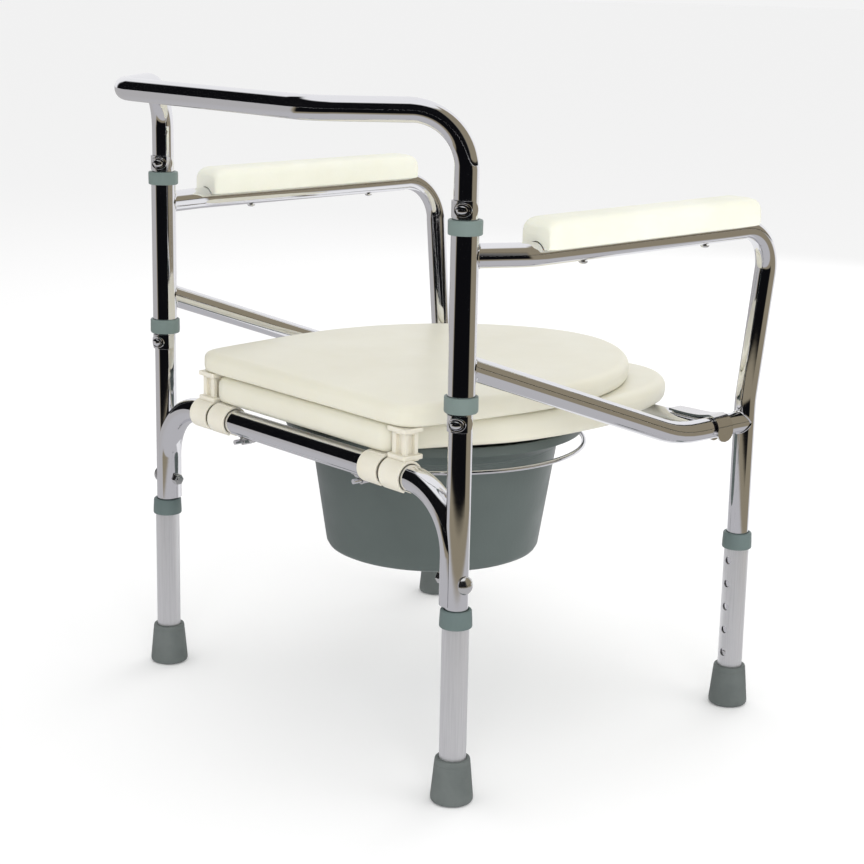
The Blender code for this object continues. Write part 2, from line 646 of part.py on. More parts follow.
for side, s in SIDES:
    x = s * RING_EYE_X
    outer_arc = [(u, v) for u, v in arc(4.1, 180, 360, 8)]
    inner_arc = [(u, v) for u, v in arc(2.8, 360, 180, 8)]
    outline = [(-15.0, 4.4), (-15.0, 3.1), (-4.1, 3.1)] + outer_arc[1:-1]
    outline += [(4.1, 3.1), (7.0, 3.1), (7.0, 4.4), (2.8, 4.4)] + inner_arc + [(-2.8, 4.4)]
    outline = [(s * u, v) for u, v in outline]
    clip = prism("ring_clip_" + side, outline, "Y", -5.5, 5.5, CHROME, at(x, CLIP_Y, RING_Z))
    sx = x - 10.5 if s > 0 else x + 10.5
    cut(clip, cylinder("cut_clip_" + side, at(sx, CLIP_Y, 270), at(sx, CLIP_Y, 290), 2.1, sides=12))
    cut(crossbar, cylinder("cut_ring_screw_" + side, at(sx, CLIP_Y, 276), at(sx, CLIP_Y, 293), 2.2,
                           sides=12))
    lathe("ring_screw_" + side,
          [(0, 290.5), (1.7, 290.5), (1.7, 281.8), (4.2, 281.8), (4.0, 280.0), (2.4, 278.8),
           (0, 278.6)],
          at(sx, CLIP_Y, 0), STEEL, 12, False)

bpy.context.view_layer.update()
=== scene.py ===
import json
import math

import bmesh
import bpy
from mathutils import Matrix, Vector, noise

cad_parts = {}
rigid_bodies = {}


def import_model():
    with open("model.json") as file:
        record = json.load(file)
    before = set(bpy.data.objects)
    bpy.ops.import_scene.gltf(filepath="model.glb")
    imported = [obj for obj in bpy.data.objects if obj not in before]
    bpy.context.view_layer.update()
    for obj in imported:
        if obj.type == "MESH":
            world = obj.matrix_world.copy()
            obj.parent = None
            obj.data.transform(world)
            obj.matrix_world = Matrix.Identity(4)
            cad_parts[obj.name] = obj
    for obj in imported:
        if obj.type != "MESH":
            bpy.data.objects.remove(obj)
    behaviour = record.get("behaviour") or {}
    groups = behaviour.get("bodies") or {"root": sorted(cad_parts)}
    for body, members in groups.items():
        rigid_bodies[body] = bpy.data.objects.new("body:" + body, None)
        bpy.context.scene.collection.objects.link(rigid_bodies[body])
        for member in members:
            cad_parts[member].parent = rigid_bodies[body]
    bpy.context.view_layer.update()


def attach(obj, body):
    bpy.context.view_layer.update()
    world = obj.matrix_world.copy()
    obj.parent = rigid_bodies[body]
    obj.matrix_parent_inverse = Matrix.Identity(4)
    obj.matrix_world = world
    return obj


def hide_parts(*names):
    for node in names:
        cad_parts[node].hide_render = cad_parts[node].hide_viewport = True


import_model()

MM = 0.001
REAR_Y = 157.0
UPRIGHT_X = 237.2
LEG_Y = -396.5
INNER_R = 11.1
OUTER_R = 12.7
ARM_X = 257.0
ARM_Z = 511.5
BRACE_Z = 309.0
CROSSBAR_Z = 297.0
PAIL_Y = -179.0
BACK_Z = 637.0
BOLT_Z = 212.6
FRONT_BAR_Y = -351.0
FRONT_BAR_Z = 306.0
CLIP_R = 12.2
CLIP_FACE_R = 12.6
CLIP_HALF = 7.6
HOLE_PITCH = 25.4
TOP_HOLE_Z = 160.1
BUTTON_Z = 58.5
PAD_LENGTH = 290.0
SEAT_MIDDLE = Vector((0.0, -190.0))
RING_Z = 279.0
RING_CLIP_X = 97.0
RING_CLIP_Y = -6.0
SIDES = (("left", 1), ("right", -1))


# ---- materials --------------------------------------------------------------
def node_material(name, colour, roughness, metallic=0.0):
    """A new Principled material; returns it with its tree and shader."""
    mat = bpy.data.materials.new(name)
    mat.use_nodes = True
    tree = mat.node_tree
    shader = tree.nodes["Principled BSDF"]
    shader.inputs["Base Color"].default_value = (*colour, 1.0)
    shader.inputs["Roughness"].default_value = roughness
    shader.inputs["Metallic"].default_value = metallic
    return mat, tree, shader


def noise_field(tree, scale, detail=4.0, stretch=(1, 1, 1), roughness=0.55):
    """Noise on object coordinates, with an optional stretch."""
    coords = tree.nodes.new("ShaderNodeTexCoord")
    mapping = tree.nodes.new("ShaderNodeMapping")
    mapping.inputs["Scale"].default_value = stretch
    field = tree.nodes.new("ShaderNodeTexNoise")
    field.inputs["Scale"].default_value = scale
    field.inputs["Detail"].default_value = detail
    field.inputs["Roughness"].default_value = roughness
    tree.links.new(coords.outputs["Object"], mapping.inputs["Vector"])
    tree.links.new(mapping.outputs["Vector"], field.inputs["Vector"])
    return field.outputs["Fac"]


def ramp(tree, fac, stops):
    """Colour ramp over a factor: stops are (position, colour)."""
    node = tree.nodes.new("ShaderNodeValToRGB")
    band = node.color_ramp
    while len(band.elements) < len(stops):
        band.elements.new(0.5)
    for element, (place, colour) in zip(band.elements, stops):
        element.position = place
        element.color = (*colour, 1.0)
    tree.links.new(fac, node.inputs["Fac"])
    return node.outputs["Color"]


def spread(tree, fac, low, high):
    """Map a 0.3..0.7 noise onto a range."""
    node = tree.nodes.new("ShaderNodeMapRange")
    node.inputs["From Min"].default_value = 0.3
    node.inputs["From Max"].default_value = 0.7
    node.inputs["To Min"].default_value = low
    node.inputs["To Max"].default_value = high
    tree.links.new(fac, node.inputs["Value"])
    return node.outputs["Result"]


def bump(tree, shader, height, strength, distance):
    """Bump from a height field."""
    node = tree.nodes.new("ShaderNodeBump")
    node.inputs["Strength"].default_value = strength
    node.inputs["Distance"].default_value = distance
    tree.links.new(height, node.inputs["Height"])
    tree.links.new(node.outputs["Normal"], shader.inputs["Normal"])


def chrome_material(name, tint=(0.86, 0.86, 0.88), low=0.035, high=0.075):
    """Bright chromium plate: near-mirror, with faint smears and orange peel."""
    mat, tree, shader = node_material(name, tint, low, 1.0)
    smear = noise_field(tree, 14.0, 5.0)
    tree.links.new(spread(tree, smear, low, high), shader.inputs["Roughness"])
    bump(tree, shader, noise_field(tree, 55.0, 2.0), 0.05, 0.0004)
    return mat


def satin_material():
    """Drawn and anodised aluminium: soft gloss with fine lengthwise marks."""
    mat, tree, shader = node_material("satin_tube", (0.72, 0.72, 0.74), 0.3, 0.8)
    streak = noise_field(tree, 60.0, 5.0, (12.0, 12.0, 0.25), 0.65)
    tree.links.new(spread(tree, streak, 0.34, 0.5), shader.inputs["Roughness"])
    colour = ramp(tree, streak, [(0.30, (0.74, 0.74, 0.75)), (0.55, (0.83, 0.83, 0.84)),
                                 (0.75, (0.87, 0.87, 0.88))])
    tree.links.new(colour, shader.inputs["Base Color"])
    bump(tree, shader, streak, 0.07, 0.0002)
    return mat


def plastic_material(name, dark, light, roughness, grain, depth, scale=9.0, coat=0.0, soft=0.0):
    """Moulded plastic: slow colour drift, mould grain and uneven sheen."""
    mat, tree, shader = node_material(name, light, roughness)
    drift = noise_field(tree, scale, 4.0)
    tree.links.new(ramp(tree, drift, [(0.32, dark), (0.62, light)]), shader.inputs["Base Color"])
    sheen = noise_field(tree, scale * 3.3, 3.0)
    tree.links.new(spread(tree, sheen, roughness - 0.05, roughness + 0.07),
                   shader.inputs["Roughness"])
    bump(tree, shader, noise_field(tree, grain, 3.0), 0.35, depth)
    shader.inputs["Coat Weight"].default_value = coat
    shader.inputs["Coat Roughness"].default_value = 0.25
    if soft:
        shader.inputs["Subsurface Weight"].default_value = soft
        shader.inputs["Subsurface Radius"].default_value = (0.006, 0.005, 0.003)
        shader.inputs["Subsurface Scale"].default_value = 1.0
    return mat


CHROME = chrome_material("chrome_plate")
SHEET = chrome_material("chrome_sheet", (0.80, 0.79, 0.79), 0.08, 0.2)
SATIN = satin_material()
STEEL = chrome_material("bright_zinc", (0.78, 0.78, 0.77), 0.14, 0.26)
BUSH = plastic_material("bush_plastic", (0.138, 0.183, 0.172), (0.166, 0.216, 0.202),
                        0.42, 420.0, 0.0003, 18.0)
COLLAR = plastic_material("collar_plastic", (0.103, 0.142, 0.138), (0.13, 0.175, 0.17),
                          0.46, 420.0, 0.0003, 18.0)
RUBBER = plastic_material("foot_rubber", (0.104, 0.12, 0.115), (0.136, 0.154, 0.148),
                          0.62, 260.0, 0.0006, 26.0)
IVORY = plastic_material("ivory_plastic", (0.71, 0.685, 0.565), (0.75, 0.73, 0.615),
                         0.38, 340.0, 0.00022, 6.0, 0.12, 0.12)
CLAMP = plastic_material("clamp_plastic", (0.72, 0.68, 0.57), (0.77, 0.735, 0.63),
                         0.44, 380.0, 0.0003, 20.0, 0.0, 0.1)
FOAM = plastic_material("arm_foam", (0.80, 0.80, 0.685), (0.84, 0.84, 0.74),
                        0.55, 700.0, 0.0007, 12.0, 0.0, 0.15)
PAIL = plastic_material("pail_plastic", (0.084, 0.106, 0.10), (0.102, 0.127, 0.12),
                        0.40, 300.0, 0.0003, 7.0)


# ---- mesh helpers -----------------------------------------------------------
def shade(mesh, angle):
    """Smooth shading, kept sharp where faces meet at more than an angle."""
    for poly in mesh.polygons:
        poly.use_smooth = True
    mesh.set_sharp_from_angle(angle=math.radians(angle))


def outward_mesh(name, verts, faces):
    """A mesh whose normals agree."""
    mesh = bpy.data.meshes.new(name)
    mesh.from_pydata([tuple(v) for v in verts], [], faces)
    bm = bmesh.new()
    bm.from_mesh(mesh)
    bmesh.ops.recalc_face_normals(bm, faces=bm.faces)
    bm.to_mesh(mesh)
    bm.free()
    return mesh


def at(x, y, z):
    """A point in metres from millimetres measured off the rear uprights' plane."""
    return Vector((x, y + REAR_Y, z)) * MM


def piece(name, verts, faces, mat, body, nodes=()):
    """A new piece with consistent normals, riding on a body."""
    mesh = outward_mesh(name, verts, faces)
    shade(mesh, 38.0)
    mesh.materials.append(mat)
    obj = bpy.data.objects.new(name, mesh)
    bpy.context.scene.collection.objects.link(obj)
    if nodes:
        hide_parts(*nodes)
    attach(obj, body)
    return obj


def filleted(corners, step=5.0):
    """Round a polyline's corners; gives points and the bend there (0 or 1)."""
    path, bends = [corners[0][0]], [0.0]
    for before, (corner, radius), after in zip(corners, corners[1:], corners[2:]):
        into = (corner - before[0]).normalized()
        out = (after[0] - corner).normalized()
        turn = into.angle(out)
        if radius <= 0 or turn < 1e-4:
            path.append(corner)
            bends.append(0.0)
            continue
        reach = radius * math.tan(turn / 2)
        side = (out - into * into.dot(out)).normalized()
        centre = corner - into * reach + side * radius
        count = max(2, math.ceil(math.degrees(turn) / step))
        tight = 1.0 if radius < 0.055 else 0.0
        for i in range(count + 1):
            a = turn * i / count
            path.append(centre - side * radius * math.cos(a) + into * radius * math.sin(a))
            bends.append(tight * math.sin(math.pi * i / count) ** 0.5)
    path.append(corners[-1][0])
    bends.append(0.0)
    return path, bends


def sweep(path, radius, sides=32, bends=None, flatten=0.1):
    """Rings of a round section along a path, flattened a little in tight bends."""
    count = len(path)
    tangents = []
    for i in range(count):
        a = path[i] - path[i - 1] if i else path[1] - path[0]
        b = path[i + 1] - path[i] if i < count - 1 else a
        tangents.append((a.normalized() + b.normalized()).normalized())
    normal = tangents[0].orthogonal().normalized()
    rings = []
    for i, place in enumerate(path):
        if i:
            normal = tangents[i - 1].rotation_difference(tangents[i]) @ normal
        across = tangents[i].cross(normal).normalized()
        inward = None
        if bends and 0 < i < count - 1 and bends[i] > 0:
            turn = (path[i + 1] - place).normalized() - (place - path[i - 1]).normalized()
            if turn.length > 1e-6:
                inward = turn.normalized()
        ring = []
        for k in range(sides):
            a = math.tau * k / sides
            offset = (normal * math.cos(a) + across * math.sin(a)) * radius
            if inward is not None:
                offset -= inward * offset.dot(inward) * flatten * bends[i]
            ring.append(place + offset)
        rings.append(ring)
    return rings


def cope(ring, direction, centre, axis, radius):
    """Slide a ring's points along a direction onto a cylinder's surface."""
    across = direction - axis * direction.dot(axis)
    moved = []
    for p in ring:
        rel = p - centre
        rel -= axis * rel.dot(axis)
        a = across.dot(across)
        b = rel.dot(across)
        c = rel.dot(rel) - radius ** 2
        disc = max(0.0, b * b - a * c)
        moved.append(p + direction * ((-b - math.sqrt(disc)) / a))
    return moved


def skin(name, rings, mat, body, nodes=(), closed=False):
    """Skin rings; ends are fanned to their centres."""
    count = len(rings[0])
    verts = [p for ring in rings for p in ring]
    faces = []
    spans = len(rings) if closed else len(rings) - 1
    for r in range(spans):
        s = (r + 1) % len(rings)
        for i in range(count):
            j = (i + 1) % count
            faces.append((r * count + i, r * count + j, s * count + j, s * count + i))
    if not closed:
        for start in (0, (len(rings) - 1) * count):
            faces.append(tuple(range(start, start + count)))
    return piece(name, verts, faces, mat, body, nodes)


def turned(name, profile, place, mat, body, nodes=(), segments=48, closed=True,
           axis="Z"):
    """Turn a profile of (radius, height) in mm about an axis through a place."""
    verts, index = [], []
    for r, z in profile:
        row = []
        for k in range(segments):
            if r < 1e-6 and row:
                row.append(row[0])
                continue
            a = math.tau * k / segments
            p = Vector((r * math.cos(a), r * math.sin(a), z)) * MM
            if axis == "X":
                p = Vector((p.z, p.x, p.y))
            elif axis == "-X":
                p = Vector((-p.z, p.y, p.x))
            elif axis == "Y":
                p = Vector((p.x, p.z, p.y))
            elif axis == "-Y":
                p = Vector((p.y, -p.z, p.x))
            row.append(len(verts))
            verts.append(place + p)
        index.append(row)
    faces = []
    pairs = list(zip(index, index[1:] + (index[:1] if closed else [])))
    for top, low in pairs:
        for k in range(segments):
            j = (k + 1) % segments
            face = []
            for v in (top[k], top[j], low[j], low[k]):
                if v not in face:
                    face.append(v)
            if len(face) > 2:
                faces.append(tuple(face))
    return piece(name, verts, faces, mat, body, nodes)


def bevel(obj, width, segments=3, angle=35.0):
    """Round off the sharp edges."""
    mod = obj.modifiers.new("edges", "BEVEL")
    mod.width = width * MM
    mod.segments = segments
    mod.limit_method = "ANGLE"
    mod.angle_limit = math.radians(angle)
    mod.harden_normals = True
    return obj


def subtract(obj, verts_faces, name):
    """Cut a hidden shape out of a piece and apply the result."""
    verts, faces = verts_faces
    cutter = bpy.data.objects.new(name, outward_mesh(name, verts, faces))
    bpy.context.scene.collection.objects.link(cutter)
    mod = obj.modifiers.new("cut", "BOOLEAN")
    mod.operation = "DIFFERENCE"
    mod.solver = "EXACT"
    mod.object = cutter
    bpy.context.view_layer.update()
    shape = obj.evaluated_get(bpy.context.evaluated_depsgraph_get())
    result = bpy.data.meshes.new_from_object(shape)
    obj.modifiers.remove(mod)
    old = obj.data
    obj.data = result
    shade(result, 30.0)
    bpy.data.meshes.remove(old)
    bpy.data.objects.remove(cutter, do_unlink=True)


def drum(start, end, radius, sides=48, base=0):
    """Vertices and faces of a closed cylinder between two points."""
    rings = sweep([start, end], radius * MM, sides)
    verts = rings[0] + rings[1]
    faces = [tuple(range(base, base + sides)), tuple(range(base + sides, base + 2 * sides))]
    for i in range(sides):
        j = (i + 1) % sides
        faces.append((base + i, base + j, base + sides + j, base + sides + i))
    return verts, faces


def arc(radius, first, last, count, centre=(0.0, 0.0)):
    """Points along an arc, angles in degrees."""
    points = []
    for i in range(count + 1):
        a = math.radians(first + (last - first) * i / count)
        points.append((centre[0] + radius * math.cos(a), centre[1] + radius * math.sin(a)))
    return points


def prism(name, outline, axis, low, high, place, mat, body, nodes=()):
    """Push a flat outline (mm) along an axis."""
    def lift(u, v, w):
        order = {"X": (w, u, v), "Y": (u, w, v), "Z": (u, v, w)}
        return place + Vector(order[axis]) * MM

    count = len(outline)
    verts = [lift(u, v, low) for u, v in outline] + [lift(u, v, high) for u, v in outline]
    faces = [tuple(range(count)), tuple(range(count, 2 * count))]
    for i in range(count):
        j = (i + 1) % count
        faces.append((i, j, count + j, count + i))
    return piece(name, verts, faces, mat, body, nodes)


def join(first, *others):
    """Join pieces into the first, keeping separate closed shells."""
    bm = bmesh.new()
    for obj in (first, *others):
        bpy.context.view_layer.update()
        shape = obj.evaluated_get(bpy.context.evaluated_depsgraph_get())
        mesh = bpy.data.meshes.new_from_object(shape)
        bm.from_mesh(mesh)
        bpy.data.meshes.remove(mesh)
    first.modifiers.clear()
    bm.to_mesh(first.data)
    bm.free()
    for obj in others:
        bpy.data.objects.remove(obj, do_unlink=True)
    return first


def weld_bead(name, ring, size, body):
    """A thin fillet of weld metal along a coped end."""
    loop = list(ring)
    rings = []
    count = len(loop)
    centre = sum(loop, Vector()) / count
    for i, p in enumerate(loop):
        along = (loop[(i + 1) % count] - loop[i - 1]).normalized()
        out = (p - centre).normalized()
        out = (out - along * out.dot(along)).normalized()
        side = along.cross(out)
        wobble = 1.0 + 0.18 * noise.noise(p * 900.0)
        section = []
        for k in range(8):
            a = math.tau * k / 8
            section.append(p + (out * math.cos(a) + side * math.sin(a)) * size * MM * wobble)
        rings.append(section)
    return skin(name, rings, CHROME, body, (), closed=True)


# ---- camera: the picture's own viewpoint ---------------------------------------
def make_camera():
    """Camera at the matched place, pitch and roll."""
    heading = Vector((0.7495, -0.6620, 0.0)).normalized()
    pitch, roll = math.radians(13.546), math.radians(1.20)
    forward = heading * math.cos(pitch) + Vector((0, 0, -math.sin(pitch)))
    right = forward.cross(Vector((0, 0, 1))).normalized()
    up = right.cross(forward)
    right, up = (right * math.cos(roll) + up * math.sin(roll),
                 up * math.cos(roll) - right * math.sin(roll))
    turn = Matrix((right, up, -forward)).transposed()
    data = bpy.data.cameras.new("camera")
    data.lens = 78.035
    data.sensor_width = 36.0
    data.clip_start, data.clip_end = 0.05, 200.0
    cam = bpy.data.objects.new("camera", data)
    cam.matrix_world = Matrix.Translation(at(-1438.1, 1094.5, 744.7)) @ turn.to_4x4()
    bpy.context.scene.collection.objects.link(cam)
    bpy.context.scene.camera = cam


make_camera()


# ---- rear frame -----------------------------------------------------------------
path, bends = filleted([(at(-UPRIGHT_X, 0, 45.0), 0), (at(-UPRIGHT_X, 0, BACK_Z), 0.050),
                        (at(-149.0, 105.0, BACK_Z), 0.045), (at(149.0, 105.0, BACK_Z), 0.045),
                        (at(UPRIGHT_X, 0, BACK_Z), 0.050), (at(UPRIGHT_X, 0, 45.0), 0)])
skin("rear_frame_bar", sweep(path, INNER_R * MM, 40, bends, 0.06), CHROME, "frame",
     ["rear_frame_tube"])

path, bends = filleted([(at(-232.2, 0, 190.8), 0), (at(-232.2, 0, CROSSBAR_Z), 0.060),
                        (at(232.2, 0, CROSSBAR_Z), 0.060), (at(232.2, 0, 190.8), 0)])
crossbar = skin("crossbar", sweep(path, OUTER_R * MM, 48), CHROME, "frame",
                ["seat_crossbar"])
for side, s in SIDES:
    subtract(crossbar, drum(at(s * UPRIGHT_X, 0, 150), at(s * UPRIGHT_X, 0, 360), INNER_R + 0.25),
             "hug_" + side)

for side, s in SIDES:
    axis = "X" if s > 0 else "-X"
    turned("bolt_" + side, [(0, 17.0), (2.6, 16.8), (4.9, 16.0), (6.8, 14.7), (8.0, 13.1),
                            (8.6, 12.3), (8.6, 11.6), (8.2, 11.3), (3.0, 11.3), (3.0, -23.5),
                            (2.5, -24.2), (0, -24.2)],
           at(s * UPRIGHT_X, 0, BOLT_Z), STEEL, "frame", ["frame_bolt_" + side],
           32, False, axis)
    hexagon = arc(6.2, 0, 300, 5)
    nut = prism("nut_" + side, hexagon, "X", -2.6, 2.6, at(s * (UPRIGHT_X - 20.8), 0, BOLT_Z),
                STEEL, "frame", ["frame_nut_" + side])
    bevel(nut, 0.5)

# ---- side frames ------------------------------------------------------------------
for side, s in SIDES:
    x = s * UPRIGHT_X
    post = at(x, 0, 0)
    up = Vector((0, 0, 1))
    turned("pivot_sleeve_" + side,
           [(11.75, 541.0), (12.5, 541.0), (12.7, 540.6), (12.7, 375.4), (12.5, 375.0),
            (11.75, 375.0)], post, CHROME, "frame", ["sleeve_" + side], 56)
    turned("bush_upper_" + side,
           [(11.7, 543.9), (14.4, 544.0), (15.1, 543.7), (15.5, 543.0), (15.6, 541.5),
            (15.45, 531.6), (15.2, 530.8), (14.6, 530.5), (13.1, 530.5), (13.1, 541.3),
            (11.7, 541.3)], post, BUSH, "frame", ["upper_bush_" + side], 56)
    turned("bush_lower_" + side,
           [(13.1, 387.0), (14.7, 387.0), (15.3, 386.6), (15.5, 385.8), (15.6, 374.6),
            (15.3, 372.9), (14.5, 372.0), (11.7, 372.0), (11.7, 374.7), (13.1, 374.7)],
           post, BUSH, "frame", ["lower_bush_" + side], 56)

    path, bends = filleted([(at(x, -4, ARM_Z), 0), (at(s * ARM_X, -62, ARM_Z - 1.0), 0.060),
                            (at(s * ARM_X, LEG_Y - 1.0, ARM_Z + 3.0), 0.048),
                            (at(x, LEG_Y, 332.0), 0.130), (at(x, LEG_Y, 45.0), 0)])
    rings = sweep(path, INNER_R * MM, 40, bends, 0.12)
    towards = (path[0] - path[1]).normalized()
    rings[0] = cope([p - towards * 0.02 for p in rings[0]], towards, post, up,
                    (OUTER_R + 0.05) * MM)
    skin("arm_bar_" + side, rings, CHROME, "frame", ["arm_leg_tube_" + side])
    weld_bead("weld_arm_" + side, rings[0], 1.3, "frame")

    path, bends = filleted([(at(x, -4, 414.6 - 1.44), 0), (at(x, -293.0, BRACE_Z), 0.150),
                            (at(x, LEG_Y + 4, BRACE_Z), 0)])
    rings = sweep(path, INNER_R * MM, 40)
    towards = (path[0] - path[1]).normalized()
    rings[0] = cope([p - towards * 0.02 for p in rings[0]], towards, post, up,
                    (OUTER_R + 0.05) * MM)
    towards = (path[-1] - path[-2]).normalized()
    rings[-1] = cope([p - towards * 0.02 for p in rings[-1]], towards, at(x, LEG_Y, 0), up,
                     (INNER_R + 0.3) * MM)
    skin("brace_bar_" + side, rings, CHROME, "frame", ["brace_tube_" + side])
    weld_bead("weld_brace_" + side, rings[0], 1.3, "frame")
    weld_bead("weld_leg_" + side, rings[-1], 1.3, "frame")

path = [at(-230, FRONT_BAR_Y, FRONT_BAR_Z), at(230, FRONT_BAR_Y, FRONT_BAR_Z)]
rings = sweep(path, INNER_R * MM, 40)
for k, s in ((0, -1), (1, 1)):
    towards = Vector((s, 0, 0))
    rings[k] = cope([p - towards * 0.03 for p in rings[k]], towards,
                    at(s * UPRIGHT_X, 0, BRACE_Z), Vector((0, 1, 0)), (INNER_R + 0.3) * MM)
skin("front_bar", rings, CHROME, "frame", ["front_crossbar"])


def strip(name, rows, thickness, mat, nodes, rim=0.5):
    """A bent sheet: rows of points thickened both ways, with rounded edges."""
    width = len(rows[0])
    verts = [p for row in rows for p in row]
    faces = []
    for r in range(len(rows) - 1):
        for c in range(width - 1):
            a = r * width + c
            faces.append((a, a + 1, a + 1 + width, a + width))
    obj = piece(name, verts, faces, mat, "frame", nodes)
    shell = obj.modifiers.new("sheet", "SOLIDIFY")
    shell.thickness = thickness * MM
    shell.offset = 0.0
    shell.use_even_offset = True
    bevel(obj, rim, 3, 50)
    return obj


for side, s in SIDES:
    mid = INNER_R + 0.4 + 1.25
    line = [(-56.0, 318.7), (-46.0, 318.7), (-36.0, 318.7), (-27.0, 318.7), (-20.0, 318.9),
            (-14.0, 319.4), (-9.5, 320.1)]
    line += [(u, v + BRACE_Z) for u, v in arc(mid, 106, 0, 22)]
    tongue = [(mid, BRACE_Z - 13.3 * t / 12) for t in range(1, 13)]
    rows = []
    for k, (u, v) in enumerate(line + tongue):
        half = 11.0
        if k < 3:
            half = (8.6, 10.3, 11.0)[k]
        if k >= len(line):
            t = min(1.0, (BRACE_Z - v - 1.5) / 11.8)
            half = 11.4 * math.sqrt(max(0.0, 1 - max(0.0, t) ** 2.2)) + 0.35
        rows.append([at(s * (UPRIGHT_X + u), FRONT_BAR_Y + w * half / 4, v)
                     for w in range(-4, 5)])
    strip("hook_" + side, rows, 2.3, SHEET, ["crossbar_hook_" + side])

for side, s in SIDES:
    for label, z in (("upper", 553.2), ("lower", 362.8)):
        rows = []
        steps = 40
        for i in range(steps + 1):
            t = i / steps
            a = math.radians(-72 + 268 * t)
            edge = min(t, 1 - t) * 270 / 360 * math.tau * 12.4
            half = CLIP_HALF
            if edge <= CLIP_HALF:
                half = math.sqrt(max(0.6, CLIP_HALF ** 2 - (CLIP_HALF - edge) ** 2))
            u, v = CLIP_R * math.cos(a), CLIP_R * math.sin(a)
            rows.append([at(s * UPRIGHT_X + u, v, z + w * half / 3) for w in range(-3, 4)])
        strip("clip_%s_%s" % (label, side), rows, 1.2, CHROME, ["%s_clip_%s" % (label, side)],
              0.35)
        # embossed eye with its locking pin, wrapped round the clip
        face = {"upper_left": 122, "upper_right": 122, "lower_right": 118,
                "lower_left": 100}["%s_%s" % (label, side)]
        rings = []
        for r, h in ((7.0, -0.6), (7.0, 0.6), (6.6, 1.1), (5.8, 1.2), (5.2, 0.9), (4.9, 0.2),
                     (4.0, 0.2), (3.8, 1.7), (3.3, 2.4), (1.9, 2.9), (0.6, 3.0)):
            ring = []
            for k in range(28):
                turn = math.tau * k / 28
                a = math.radians(face) + r * 1.3 * math.cos(turn) / CLIP_FACE_R
                reach = CLIP_FACE_R + h
                ring.append(at(s * UPRIGHT_X + reach * math.cos(a), reach * math.sin(a),
                               z + r * 0.94 * math.sin(turn)))
            rings.append(ring)
        skin("clip_pin_%s_%s" % (label, side), rings, CHROME, "frame", ())

# ---- height-adjusting legs --------------------------------------------------------
for row, y, top, face in (("rear", 0.0, 188.0, -1), ("front", LEG_Y, 190.0, 1)):
    for side, s in SIDES:
        x = s * UPRIGHT_X
        name = "%s_%s" % (row, side)
        body = "leg_" + name
        tube = turned("extension_" + name,
                      [(11.75, top - 3.6), (12.7, top - 3.6), (12.7, 8.0), (11.75, 8.0)],
                      at(x, y, 0), SATIN, body, ["leg_extension_" + name], 56)
        verts, faces = [], []
        for k in range(5):
            z = TOP_HOLE_Z - HOLE_PITCH * k
            more, links = drum(at(x, y + face * 6.0, z), at(x, y + face * 16.0, z), 4.0, 32,
                               len(verts))
            verts += more
            faces += links
        subtract(tube, (verts, faces), "holes_" + name)
        low = top - 17.0
        turned("collar_" + name,
               [(11.7, top), (13.0, top), (14.0, top - 0.3), (14.7, top - 1.2),
                (15.2, top - 10.0), (15.35, low + 1.4), (15.1, low + 0.4), (14.5, low),
                (13.1, low), (13.1, top - 3.3), (11.7, top - 3.3)],
               at(x, y, 0), COLLAR, body, ["leg_collar_" + name], 56)
        turned("foot_" + name,
               [(0, 7.7), (13.1, 7.7), (13.1, 43.0), (15.4, 43.0), (16.2, 42.6), (16.6, 41.6),
                (17.0, 38.2), (16.7, 37.4), (17.2, 36.6), (19.2, 15.0), (19.9, 8.0),
                (20.2, 4.4), (20.0, 2.2), (19.2, 0.8), (17.8, 0.0), (13.0, 0.0), (12.0, 1.0),
                (9.0, 1.0), (8.0, 0.0), (5.0, 0.0), (4.0, 1.0), (0, 1.0)],
               at(x, y, 0), RUBBER, body, ["rubber_foot_" + name], 56, False)
        turned("button_dome_" + name,
               [(0, 11.4), (1.2, 11.32), (2.2, 11.0), (2.9, 10.5), (3.3, 9.6), (3.3, 8.2),
                (4.4, 8.2), (4.4, 7.2), (0, 7.2)],
               at(x, y, BUTTON_Z), STEEL, "button_" + name, ["snap_button_" + name], 32,
               False, "Y" if face > 0 else "-Y")

